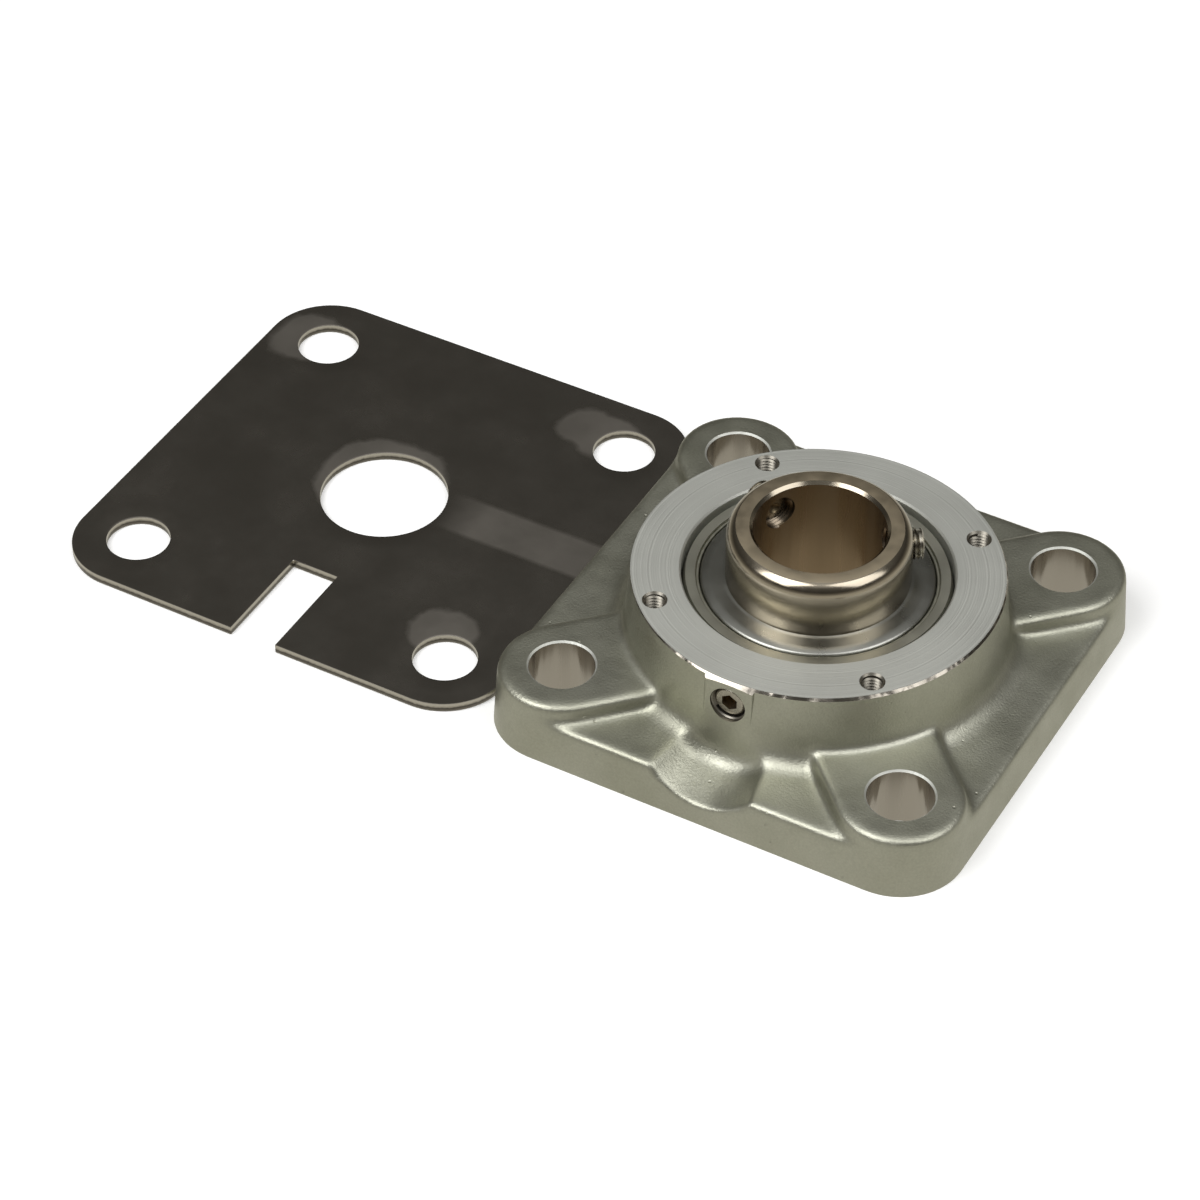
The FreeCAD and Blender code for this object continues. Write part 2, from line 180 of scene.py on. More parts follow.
# ---------------------------------------------------------------- housing
# Square flange of investment-cast stainless steel, bead blasted all over and then machined on its base,
# its cover face, its bore and its holes. The casting is made first, with soft roots and corners, and
# the machining is cut into it afterwards, so its edges stay crisp.
FLANGE = 2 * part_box("housing")[1].x * 1000
BOLT_SPACING = mounts["housing_bolts"]["dims"]["spacing_x_mm"]
BOLT_HOLE_R = mounts["housing_bolts"]["dims"]["hole_r_mm"]
FACE_Z = mounts["cover_face"]["pos_m"][2] * 1000
COVER_HOLE_PITCH_R = mounts["cover_screw_holes"]["dims"]["pcd_mm"] / 2
COVER_HOLE_R = mounts["cover_screw_holes"]["dims"]["hole_r_mm"]
CORNER_R = (FLANGE - BOLT_SPACING) / 2
CENTRE_Z = 15.6
STOCK = 2.0                  # metal left on the base and the face for machining
WEB_Z = 9.4
PAD_Z = 13.0
DRAFT = 0.985                # top of the flange's walls against their foot
HUB_TOP_R = 34.95
HUB_FOOT_R = 36.5
HUB_OFFSET = (0.22, -0.22)   # the casting sits this far off the turning centre
FACE_R = 35.0
BORE_R = 25.6
SEAT_R = 26.05
BOSS_Y = -35.5
BOSS_BACK = -28.0
BOSS_FOOT_Z = 8.0
BOSS_LEAN = 0.7              # the boss's foot stands this far out of its flat
BOSS_HALF = 5.0
PLUG_Z = 19.6
PLUG_R = 3.0
PLUG_PITCH = 1.0
COVER_PITCH = 0.7
COVER_DEPTH = 8.2
THREAD_DEPTH = 0.36
THREAD_STEPS = 28
RELIEF_X = 0.4
RELIEF_R = 13.0
RELIEF_LEAN = 11.5
RELIEF_FLOOR_Z = 6.6
RELIEF_LENGTH = 26.0
ROOT_LOW = 7.0               # the roots between the web and the hub are smoothed more than the rest
ROOT_HIGH = 17.0
ROOT_PASSES = 9
SKIN_PASSES = 8
ROUND_STEPS = 5
TURN_STEPS = 160
FIRST_VOXEL = 0.6
SKIN_VOXEL = 0.42
BEYOND = 60.0                # reach of the facing cuts, past the whole flange
CREASE = 32                  # degrees between two faces from which their edge is sharp


def turned(outline, steps=TURN_STEPS, material=0):
    """Closed shape turned about Z. Each corner is (radius, height) or (radius, height, rounding)."""
    shape = bmesh.new()
    corners = [shape.verts.new((corner[0], 0, corner[1])) for corner in outline]
    for first, second in zip(corners, corners[1:] + corners[:1]):
        if first.co.x + second.co.x > 0:
            shape.edges.new((first, second))
    for vert, corner in zip(corners, outline):
        if len(corner) == 3:
            bmesh.ops.bevel(shape, geom=[vert], offset=corner[2], offset_type="OFFSET",
                            segments=ROUND_STEPS, profile=0.5, affect="VERTICES", material=-1)
    bmesh.ops.spin(shape, geom=shape.verts[:] + shape.edges[:], cent=(0, 0, 0), axis=(0, 0, 1),
                   dvec=(0, 0, 0), angle=2 * math.pi, steps=steps, use_merge=True, use_duplicate=False)
    bmesh.ops.remove_doubles(shape, verts=shape.verts, dist=1e-4)
    bmesh.ops.recalc_face_normals(shape, faces=shape.faces)
    for face in shape.faces:
        face.material_index = material
    return shape


def block(low, high, material=0):
    """Box between two corners."""
    shape = bmesh.new()
    bmesh.ops.create_cube(shape, size=1.0)
    bmesh.ops.scale(shape, vec=Vector(high) - Vector(low), verts=shape.verts)
    bmesh.ops.translate(shape, vec=(Vector(low) + Vector(high)) / 2, verts=shape.verts)
    for face in shape.faces:
        face.material_index = material
    return shape


def moved(shape, matrix):
    """The same shape in its new place."""
    bmesh.ops.transform(shape, matrix=matrix, verts=shape.verts)
    return shape


def together(shapes):
    """All the shapes in one mesh, as they lie."""
    whole = bmesh.new()
    for shape in shapes:
        part = bpy.data.meshes.new("part")
        shape.to_mesh(part)
        whole.from_mesh(part)
        bpy.data.meshes.remove(part)
    return whole


def working_object(shape):
    """Throwaway object with one slot for each finish, for a modifier to work on."""
    mesh = bpy.data.meshes.new("work")
    shape.to_mesh(mesh)
    for slot_name in ("work_0", "work_1", "work_2", "work_3"):
        mesh.materials.append(bpy.data.materials.get(slot_name) or bpy.data.materials.new(slot_name))
    holder = bpy.data.objects.new("work", mesh)
    bpy.context.collection.objects.link(holder)
    return holder


def after(shape, kind, **settings):
    """The shape after one modifier."""
    holder = working_object(shape)
    change = holder.modifiers.new("change", kind)
    for name, value in settings.items():
        setattr(change, name, value)
    result = bmesh.new()
    result.from_object(holder, bpy.context.evaluated_depsgraph_get())
    bpy.data.objects.remove(holder)
    return result


def combined(shape, others, operation="DIFFERENCE"):
    """The shape with the others, which don't touch each other, cut out of it or joined to it."""
    tool = working_object(together(others))
    result = after(shape, "BOOLEAN", operation=operation, solver="EXACT", object=tool)
    bpy.data.objects.remove(tool)
    return result


def thread_ridge(root_r, crest_r, pitch, low, high, material=0):
    """Closed V-shaped rib wound on a helix about Z."""
    shape = bmesh.new()
    profile = ((root_r, 0, low), (crest_r, 0, low + pitch / 2), (root_r, 0, low + pitch))
    shape.faces.new([shape.verts.new(place) for place in profile])
    turns = (high - low) / pitch - 1
    bmesh.ops.spin(shape, geom=shape.verts[:] + shape.edges[:] + shape.faces[:], cent=(0, 0, 0),
                   axis=(0, 0, 1), dvec=(0, 0, pitch / THREAD_STEPS), angle=2 * math.pi * turns,
                   steps=round(THREAD_STEPS * turns), use_merge=False, use_duplicate=False)
    bmesh.ops.recalc_face_normals(shape, faces=shape.faces)
    for face in shape.faces:
        face.material_index = material
    return shape


def piece(shape, name, body, replaced, materials):
    """Turns a shape drawn in millimetres into a finished piece in metres on its body."""
    bmesh.ops.scale(shape, vec=(0.001, 0.001, 0.001), verts=shape.verts)
    mesh = bpy.data.meshes.new(name)
    shape.to_mesh(mesh)
    for finish in materials:
        mesh.materials.append(finish)
    mesh.polygons.foreach_set("use_smooth", [True] * len(mesh.polygons))
    mesh.set_sharp_from_angle(angle=math.radians(CREASE))
    made = bpy.data.objects.new(name, mesh)
    bpy.context.collection.objects.link(made)
    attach(made, body)
    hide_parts(*replaced)
    return made


def four_corners():
    """Centres of the flange's bolt holes, on its base."""
    half = BOLT_SPACING / 2
    return [Vector((x, y, 0)) for x, y in ((half, half), (-half, half), (-half, -half), (half, -half))]


def flange_slab():
    """Square slab with rounded corners and drafted walls."""
    half = FLANGE / 2
    slab = block((-half, -half, -STOCK), (half, half, WEB_Z))
    upright = [edge for edge in slab.edges if abs(edge.verts[0].co.z - edge.verts[1].co.z) > WEB_Z]
    bmesh.ops.bevel(slab, geom=upright, offset=CORNER_R, offset_type="OFFSET", segments=14, profile=0.5,
                    affect="EDGES", material=-1)
    top = [vert for vert in slab.verts if vert.co.z > 0]
    bmesh.ops.scale(slab, vec=(DRAFT, DRAFT, 1), verts=top)
    return slab


def bolt_pad(corner):
    """Raised pad that runs from the hub out round one bolt hole."""
    top_half = CORNER_R - 1.0
    bar = block((0, -CORNER_R - 0.3, -STOCK), (corner.length, CORNER_R + 0.3, PAD_Z))
    for vert in bar.verts:
        if vert.co.z > 0:
            vert.co.y = math.copysign(top_half, vert.co.y)
    end = bmesh.new()
    bmesh.ops.create_cone(end, cap_ends=True, segments=64, radius1=CORNER_R, radius2=top_half,
                          depth=PAD_Z + STOCK,
                          matrix=Matrix.Translation((corner.length, 0, (PAD_Z - STOCK) / 2)))
    return moved(together([bar, end]), Matrix.Rotation(math.atan2(corner.y, corner.x), 4, "Z"))


def hub():
    """Drafted round hub whose foot sweeps out into the web."""
    foot_r = FLANGE / 2 - 2
    return turned([(0, -STOCK), (foot_r, -STOCK), (foot_r, WEB_Z - 0.1), (HUB_FOOT_R, WEB_Z + 0.4, 3.6),
                   (HUB_TOP_R, FACE_Z + STOCK), (0, FACE_Z + STOCK)], steps=96)


def relief_cutter():
    """Round-bottomed trough under the plug that falls away from an upright end by the hub."""
    slope = Matrix.Identity(4)
    slope[2][1] = math.tan(math.radians(RELIEF_LEAN))
    inner_end = Matrix.Translation((RELIEF_X, BOSS_Y - 0.9, RELIEF_FLOOR_Z + RELIEF_R))
    outwards = Matrix.Rotation(math.radians(90), 4, "X")
    trough = turned([(0, 0), (RELIEF_R, 0, 3.0), (RELIEF_R, RELIEF_LENGTH), (0, RELIEF_LENGTH)], steps=96)
    return moved(trough, inner_end @ slope @ outwards)


casting = together([flange_slab(), moved(hub(), Matrix.Translation((*HUB_OFFSET, 0)))]
                   + [bolt_pad(corner) for corner in four_corners()])
casting = after(casting, "REMESH", mode="VOXEL", voxel_size=FIRST_VOXEL)
casting = combined(casting, [relief_cutter()])
casting = after(casting, "REMESH", mode="VOXEL", voxel_size=SKIN_VOXEL)
roots = [vert for vert in casting.verts if ROOT_LOW < vert.co.z < ROOT_HIGH]
for softened, passes in ((roots, ROOT_PASSES), (casting.verts, SKIN_PASSES)):
    for _ in range(passes):
        bmesh.ops.smooth_vert(casting, verts=softened, factor=0.5, use_axis_x=True, use_axis_y=True,
                              use_axis_z=True)

# The plug's boss is a flat-faced rib, crisper than the rest of the casting.
boss = block((-BOSS_HALF, BOSS_Y, BOSS_FOOT_Z), (BOSS_HALF, BOSS_BACK, FACE_Z + 1))
for vert in boss.verts:
    if vert.co.z < BOSS_FOOT_Z + 1 and vert.co.y < BOSS_BACK - 2:
        vert.co.y -= BOSS_LEAN
front_edges = [edge for edge in boss.edges if all(vert.co.y < BOSS_Y + 1 for vert in edge.verts)]
bmesh.ops.bevel(boss, geom=front_edges, offset=0.45, offset_type="OFFSET", segments=3, profile=0.5,
                affect="EDGES", material=-1)
casting = combined(casting, [boss], "UNION")

# Machining cuts: the finish numbers are 1 for turned, 2 for drilled or chamfered and 3 for tapped.
chamfer_ring = turned([(FACE_R, FACE_Z), (FACE_R + 6, FACE_Z - 6), (FACE_R + 6, FACE_Z)], material=2)
bore_cutter = turned([(0, -1), (BORE_R + 0.5, -1), (BORE_R + 0.5, 0), (BORE_R, 0.5),
                      (BORE_R, CENTRE_Z - 4.8), (SEAT_R - 0.1, CENTRE_Z - 2.4), (SEAT_R, CENTRE_Z),
                      (SEAT_R - 0.1, CENTRE_Z + 2.4), (BORE_R, CENTRE_Z + 4.8), (BORE_R, FACE_Z - 0.35),
                      (BORE_R + 0.35, FACE_Z), (BORE_R + 0.35, FACE_Z + 1), (0, FACE_Z + 1)], material=1)
bolt_hole = [(0, -1), (BOLT_HOLE_R + 0.3, -1), (BOLT_HOLE_R + 0.3, 0), (BOLT_HOLE_R, 0.3),
             (BOLT_HOLE_R, PAD_Z - 0.35), (BOLT_HOLE_R + 1.0, PAD_Z + 0.65),
             (BOLT_HOLE_R + 1.2, PAD_Z + 2), (0, PAD_Z + 2)]
bolt_cutters = [moved(turned(bolt_hole, steps=72, material=2), Matrix.Translation(corner))
                for corner in four_corners()]
cover_places = [Matrix.Rotation(math.radians(angle), 4, "Z") @ Matrix.Translation((COVER_HOLE_PITCH_R, 0, 0))
                for angle in (45, 135, 225, 315)]
cover_hole = [(0, FACE_Z - COVER_DEPTH - 0.8), (COVER_HOLE_R, FACE_Z - COVER_DEPTH),
              (COVER_HOLE_R, FACE_Z - 0.4), (COVER_HOLE_R + 0.38, FACE_Z),
              (COVER_HOLE_R + 0.38, FACE_Z + 1), (0, FACE_Z + 1)]
cover_cutters = [moved(turned(cover_hole, steps=40, material=3), place) for place in cover_places]
plug_place = Matrix.Translation((0, BOSS_Y, PLUG_Z)) @ Matrix.Rotation(math.radians(90), 4, "X")
plug_port = [(0, -5), (PLUG_R + THREAD_DEPTH, -5), (PLUG_R + THREAD_DEPTH, -0.45), (PLUG_R + 0.6, -0.2),
             (PLUG_R + 0.6, 1), (0, 1)]
plug_cutter = moved(turned(plug_port, steps=48, material=3), plug_place)
casting = combined(casting, [block((-BEYOND, -BEYOND, -8), (BEYOND, BEYOND, 0), 1),
                            block((-BEYOND, -BEYOND, FACE_Z), (BEYOND, BEYOND, FACE_Z + 8), 1)])
casting = combined(casting, [chamfer_ring, bore_cutter, plug_cutter] + bolt_cutters)
casting = combined(casting, cover_cutters)
cover_threads = [moved(thread_ridge(COVER_HOLE_R + 0.05, COVER_HOLE_R - 0.33, COVER_PITCH,
                                    FACE_Z - COVER_DEPTH, FACE_Z - 0.35, material=3), place)
                 for place in cover_places]
plug_thread = moved(thread_ridge(PLUG_R + THREAD_DEPTH + 0.03, PLUG_R + 0.05, PLUG_PITCH, -4.9, -0.3,
                                 material=3), plug_place)
casting = together([casting, plug_thread] + cover_threads)
for face in casting.faces:
    if face.material_index == 2 and abs(face.normal.z) > 0.3 and face.calc_center_median().z < FACE_Z - 5:
        face.material_index = 1


def bare_metal(name, colour, roughness):
    """Metal material with its colour and gloss set; returns its tree and shader as well."""
    finish = bpy.data.materials.new(name)
    finish.use_nodes = True
    shader = finish.node_tree.nodes["Principled BSDF"]
    shader.inputs["Base Color"].default_value = linear(colour)
    shader.inputs["Metallic"].default_value = 1.0
    shader.inputs["Roughness"].default_value = roughness
    return finish, finish.node_tree, shader


# Bead-blasted investment casting: fine dimples a few tenths of a millimetre wide over slow waviness left
# by the mould, with a satin sheen and faint warm and cool patches.
cast_stainless, tree, shader = bare_metal("bead_blasted_cast_stainless", "#ABA99B", 0.44)
place = add(tree, "ShaderNodeTexCoord").outputs["Object"]
grain = add(tree, "ShaderNodeTexNoise", {"Vector": place, "Scale": 1000 / 0.45, "Detail": 3.0,
                                         "Roughness": 0.6})
waves = add(tree, "ShaderNodeTexNoise", {"Vector": place, "Scale": 1000 / 6.0, "Detail": 2.0})
patches = add(tree, "ShaderNodeTexNoise", {"Vector": place, "Scale": 1000 / 22.0, "Detail": 3.0})
tint = add(tree, "ShaderNodeValToRGB", {0: patches.outputs["Fac"]})
tint.color_ramp.elements[0].position = 0.35
tint.color_ramp.elements[0].color = linear("#A6A697")
tint.color_ramp.elements[1].position = 0.68
tint.color_ramp.elements[1].color = linear("#B3B3A6")
speckle = add(tree, "ShaderNodeMapRange", {"Value": grain.outputs["Fac"], "From Min": 0.3, "From Max": 0.7,
                                           "To Min": 0.93, "To Max": 1.07})
mottled = add(tree, "ShaderNodeMix", {0: 1.0}, data_type="RGBA", blend_type="MULTIPLY")
tree.links.new(tint.outputs["Color"], mottled.inputs[6])
tree.links.new(speckle.outputs[0], mottled.inputs[7])
tree.links.new(mottled.outputs[2], shader.inputs["Base Color"])
gloss = add(tree, "ShaderNodeMapRange", {"Value": waves.outputs["Fac"], "From Min": 0.3, "From Max": 0.7,
                                         "To Min": 0.39, "To Max": 0.48})
tree.links.new(gloss.outputs[0], shader.inputs["Roughness"])
slow = add(tree, "ShaderNodeBump", {"Height": waves.outputs["Fac"], "Strength": 0.25, "Distance": 0.0004})
# A few gas pits, one in every several millimetres.
cells = add(tree, "ShaderNodeTexVoronoi", {"Vector": place, "Scale": 1000 / 5.0, "Randomness": 1.0})
pits = add(tree, "ShaderNodeMapRange", {"Value": cells.outputs["Distance"], "From Min": 0.03,
                                        "From Max": 0.065})
pitted = add(tree, "ShaderNodeBump", {"Height": pits.outputs[0], "Strength": 0.8, "Distance": 0.00012,
                                      "Normal": slow.outputs["Normal"]})
fine = add(tree, "ShaderNodeBump", {"Height": grain.outputs["Fac"], "Strength": 0.7, "Distance": 0.00011,
                                    "Normal": pitted.outputs["Normal"]})
tree.links.new(fine.outputs["Normal"], shader.inputs["Normal"])

# Turned stainless: concentric feed marks, drawn coarser than the real tenth of a millimetre so that
# they show, and a little brighter than the casting.
turned_stainless, tree, shader = bare_metal("turned_stainless_face", "#D4D5CF", 0.60)
place = add(tree, "ShaderNodeTexCoord").outputs["Object"]
flat = add(tree, "ShaderNodeVectorMath", {0: place, 1: (1, 1, 0)}, operation="MULTIPLY")
radius = add(tree, "ShaderNodeVectorMath", {0: flat.outputs[0]}, operation="LENGTH")
rings = add(tree, "ShaderNodeTexNoise", {"W": radius.outputs["Value"], "Scale": 1000 / 0.35, "Detail": 2.0},
            noise_dimensions="1D")
gloss = add(tree, "ShaderNodeMapRange", {"Value": rings.outputs["Fac"], "From Min": 0.3, "From Max": 0.7,
                                         "To Min": 0.48, "To Max": 0.60})
smears = add(tree, "ShaderNodeTexNoise", {"Vector": place, "Scale": 1000 / 16.0, "Detail": 3.0})
duller = add(tree, "ShaderNodeMath", {0: smears.outputs["Fac"], 1: 0.16, 2: gloss.outputs[0]},
             operation="MULTIPLY_ADD")
tree.links.new(duller.outputs[0], shader.inputs["Roughness"])
marks = add(tree, "ShaderNodeBump", {"Height": rings.outputs["Fac"], "Strength": 0.45, "Distance": 0.00006})
tree.links.new(marks.outputs["Normal"], shader.inputs["Normal"])

# Drilled bolt holes: long scores down the wall, between bright and dull.
drilled_stainless, tree, shader = bare_metal("drilled_stainless_bore", "#A39D93", 0.24)
place = add(tree, "ShaderNodeTexCoord").outputs["Object"]
drawn_out = add(tree, "ShaderNodeMapping", {"Vector": place, "Scale": (1000 / 4.5, 1000 / 4.5, 1000 / 90)})
scores = add(tree, "ShaderNodeTexNoise", {"Vector": drawn_out.outputs[0], "Scale": 1.0, "Detail": 1.5})
gloss = add(tree, "ShaderNodeMapRange", {"Value": scores.outputs["Fac"], "From Min": 0.35, "From Max": 0.65,
                                         "To Min": 0.14, "To Max": 0.34})
tree.links.new(gloss.outputs[0], shader.inputs["Roughness"])
marks = add(tree, "ShaderNodeBump", {"Height": scores.outputs["Fac"], "Strength": 0.9, "Distance": 0.0012})
tree.links.new(marks.outputs["Normal"], shader.inputs["Normal"])

# Tapped holes: torn and oily, so duller than any other cut surface.
tapped_stainless, tree, shader = bare_metal("tapped_stainless", "#87837A", 0.36)
place = add(tree, "ShaderNodeTexCoord").outputs["Object"]
torn = add(tree, "ShaderNodeTexNoise", {"Vector": place, "Scale": 1000 / 0.3, "Detail": 2.0})
gloss = add(tree, "ShaderNodeMapRange", {"Value": torn.outputs["Fac"], "To Min": 0.28, "To Max": 0.50})
tree.links.new(gloss.outputs[0], shader.inputs["Roughness"])

piece(casting, "housing_casting", "housing", ["housing"],
      [cast_stainless, turned_stainless, drilled_stainless, tapped_stainless])

# ---------------------------------------------------------------- inner ring
# Wide inner ring of hardened chrome steel, ground and polished, with a big rounding on its collar and
# two tapped holes for the set screws that grip the shaft.
SHAFT_R = mounts["shaft_bore"]["dims"]["r_mm"]
RING_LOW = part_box("inner_ring")[0].z * 1000
RING_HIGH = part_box("inner_ring")[1].z * 1000
SCREW_Z = 29.9
SCREW_R = 3.0
SCREW_PITCH = 0.75
SCREW_TURNS = {"set_screw_1": 154, "set_screw_2": 34}
COLLAR_R = 17.4
COLLAR_ROUND = 3.0
COLLAR_FACE_R = 15.63
FLINGER_SEAT_R = 17.0
SHOULDER_R = 16.9
SHOULDER_HALF = 5.4
BORE_CHAMFER = 0.6
GROOVE_HALF = 3.36
GROOVE_R = 4.1
PITCH_R = 19.25
FLINGER_TOP = 8.35


def arc_corners(centre, radius, first, last, count):
    """Corners along a round stretch, between two angles in degrees from the radius direction."""
    turns = [math.radians(first + (last - first) * i / count) for i in range(count + 1)]
    return [(centre[0] + radius * math.cos(turn), centre[1] + radius * math.sin(turn)) for turn in turns]


def screw_place(angle):
    """Puts a shape drawn along +Z on a set screw's axis, pointing outwards."""
    turn = Matrix.Rotation(math.radians(angle), 4, "Z") @ Matrix.Rotation(math.radians(90), 4, "Y")
    return Matrix.Translation((0, 0, SCREW_Z)) @ turn


collar_end = math.degrees(math.acos((COLLAR_FACE_R - COLLAR_R + COLLAR_ROUND) / COLLAR_ROUND))
collar_centre = (COLLAR_R - COLLAR_ROUND, RING_HIGH - COLLAR_ROUND * math.sin(math.radians(collar_end)))
groove_end = math.degrees(math.atan2(GROOVE_HALF, PITCH_R - SHOULDER_R))
groove = arc_corners((PITCH_R, CENTRE_Z), GROOVE_R, 180 + groove_end, 180 - groove_end, 12)
lower_side = [(SHAFT_R + BORE_CHAMFER, RING_LOW), (FLINGER_SEAT_R, RING_LOW, 1.0),
              (FLINGER_SEAT_R, CENTRE_Z - SHOULDER_HALF), (SHOULDER_R, CENTRE_Z - SHOULDER_HALF)]
upper_side = [(SHOULDER_R, CENTRE_Z + SHOULDER_HALF), (FLINGER_SEAT_R, CENTRE_Z + SHOULDER_HALF),
              (FLINGER_SEAT_R, CENTRE_Z + FLINGER_TOP), (COLLAR_R, CENTRE_Z + FLINGER_TOP)]
collar = arc_corners(collar_centre, COLLAR_ROUND, 0, collar_end, 14)
bore = [(SHAFT_R + BORE_CHAMFER, RING_HIGH), (SHAFT_R, RING_HIGH - BORE_CHAMFER),
        (SHAFT_R, RING_LOW + BORE_CHAMFER)]
ring = turned(lower_side + groove + upper_side + collar + bore, steps=192)
screw_hole = [(0, 8), (SCREW_R + THREAD_DEPTH, 8), (SCREW_R + THREAD_DEPTH, 22), (0, 22)]
ring = combined(ring, [moved(turned(screw_hole, steps=48, material=1), screw_place(angle))
                       for angle in SCREW_TURNS.values()])
ring_threads = [moved(thread_ridge(SCREW_R + THREAD_DEPTH + 0.03, SCREW_R + 0.05, SCREW_PITCH, 12.2, 17.2,
                                   material=1), screw_place(angle))
                for angle in SCREW_TURNS.values()]
ring = together([ring] + ring_threads)

for face in ring.faces:
    if face.normal.z > 0.95 and face.calc_center_median().z > RING_HIGH - 0.2:
        face.material_index = 2
    elif face.calc_center_median().xy.length < SHAFT_R + 0.05 and abs(face.normal.z) < 0.2:
        face.material_index = 3

# Ground and polished bearing steel: a warm brown-grey sheen, softened by grinding lines round the ring.
polished_steel, tree, shader = bare_metal("ground_bearing_steel", "#A49B8B", 0.18)
place = add(tree, "ShaderNodeTexCoord").outputs["Object"]
drawn_out = add(tree, "ShaderNodeMapping", {"Vector": place, "Scale": (60, 60, 1000 / 0.08)})
lines = add(tree, "ShaderNodeTexNoise", {"Vector": drawn_out.outputs[0], "Scale": 1.0, "Detail": 3.0})
rubs = add(tree, "ShaderNodeTexNoise", {"Vector": place, "Scale": 1000 / 4.0, "Detail": 4.0,
                                        "Roughness": 0.7})
gloss = add(tree, "ShaderNodeMapRange", {"Value": rubs.outputs["Fac"], "From Min": 0.40, "From Max": 0.75,
                                         "To Min": 0.15, "To Max": 0.24})
tree.links.new(gloss.outputs[0], shader.inputs["Roughness"])
marks = add(tree, "ShaderNodeBump", {"Height": lines.outputs["Fac"], "Strength": 0.4, "Distance": 0.00002})
tree.links.new(marks.outputs["Normal"], shader.inputs["Normal"])

# Tapped steel in the screw holes: darker and less even than the ground skin.
tapped_steel, tree, shader = bare_metal("tapped_bearing_steel", "#857A6B", 0.3)
place = add(tree, "ShaderNodeTexCoord").outputs["Object"]
torn = add(tree, "ShaderNodeTexNoise", {"Vector": place, "Scale": 1000 / 0.3, "Detail": 2.0})
gloss = add(tree, "ShaderNodeMapRange", {"Value": torn.outputs["Fac"], "To Min": 0.22, "To Max": 0.40})
tree.links.new(gloss.outputs[0], shader.inputs["Roughness"])

# Faced end: turned flat, not polished, with fine rings and patches of duller gloss.
faced_steel, tree, shader = bare_metal("faced_bearing_steel", "#A89C86", 0.55)
place = add(tree, "ShaderNodeTexCoord").outputs["Object"]
flat = add(tree, "ShaderNodeVectorMath", {0: place, 1: (1, 1, 0)}, operation="MULTIPLY")
radius = add(tree, "ShaderNodeVectorMath", {0: flat.outputs[0]}, operation="LENGTH")
rings = add(tree, "ShaderNodeTexNoise", {"W": radius.outputs["Value"], "Scale": 1000 / 0.25, "Detail": 2.0},
            noise_dimensions="1D")
dull = add(tree, "ShaderNodeTexNoise", {"Vector": place, "Scale": 1000 / 3.0, "Detail": 4.0})
gloss = add(tree, "ShaderNodeMapRange", {"Value": dull.outputs["Fac"], "From Min": 0.3, "From Max": 0.7,
                                         "To Min": 0.46, "To Max": 0.62})
tree.links.new(gloss.outputs[0], shader.inputs["Roughness"])
marks = add(tree, "ShaderNodeBump", {"Height": rings.outputs["Fac"], "Strength": 0.3, "Distance": 0.00003})
tree.links.new(marks.outputs["Normal"], shader.inputs["Normal"])

# Honed bore: the same brown-grey, streaked along the shaft by trial fitting.
honed_steel, tree, shader = bare_metal("honed_bearing_bore", "#A59A88", 0.26)
place = add(tree, "ShaderNodeTexCoord").outputs["Object"]
drawn_out = add(tree, "ShaderNodeMapping", {"Vector": place, "Scale": (1000 / 4.0, 1000 / 4.0, 1000 / 80)})
streaks = add(tree, "ShaderNodeTexNoise", {"Vector": drawn_out.outputs[0], "Scale": 1.0, "Detail": 2.0})
gloss = add(tree, "ShaderNodeMapRange", {"Value": streaks.outputs["Fac"], "From Min": 0.3, "From Max": 0.7,
                                         "To Min": 0.20, "To Max": 0.38})
tree.links.new(gloss.outputs[0], shader.inputs["Roughness"])
marks = add(tree, "ShaderNodeBump", {"Height": streaks.outputs["Fac"], "Strength": 0.5, "Distance": 0.0004})
tree.links.new(marks.outputs["Normal"], shader.inputs["Normal"])

piece(ring, "inner_ring_ground", "inner_ring", ["inner_ring"],
      [polished_steel, tapped_steel, faced_steel, honed_steel])

# ---------------------------------------------------------------- set screws
# Headless hexagon-socket screws of stainless steel with a rolled thread and a cupped point; they stand
# a little out of the collar because no shaft is clamped yet.
SCREW_TIP = 14.0
SCREW_END = 19.3
SOCKET_FLATS = 3.0
SOCKET_DEPTH = 2.6
SCREW_CUP = 1.2


def socket_cutter(top, depth, flats):
    """Hexagon prism that reaches out of the screw's end."""
    shape = bmesh.new()
    corner_r = flats / math.sqrt(3)
    bmesh.ops.create_cone(shape, cap_ends=True, segments=6, radius1=corner_r, radius2=corner_r,
                          depth=depth + 1, matrix=Matrix.Translation((0, 0, top + 0.5 - depth / 2)))
    for face in shape.faces:
        face.material_index = 1
    return shape


def headless_screw(low, high, radius, pitch, flats, depth, cup):
    """Threaded stud along +Z from low to high, with a socket in its high end."""
    core = radius - THREAD_DEPTH
    stud = turned([(0, low + cup), (cup, low), (core - 0.15, low, 0.1), (core, low + 0.5),
                   (core, high - 0.4), (radius - 0.05, high - 0.35), (radius - 0.05, high - 0.25),
                   (radius - 0.35, high, 0.1), (0, high)], steps=64)
    stud = combined(stud, [socket_cutter(high, depth, flats)])
    for face in stud.faces:
        if face.calc_center_median().z < low + cup and face.calc_center_median().xy.length < cup + 0.1:
            face.material_index = 1
    return together([stud, thread_ridge(core - 0.03, radius, pitch, low + 0.3, high - 0.3)])


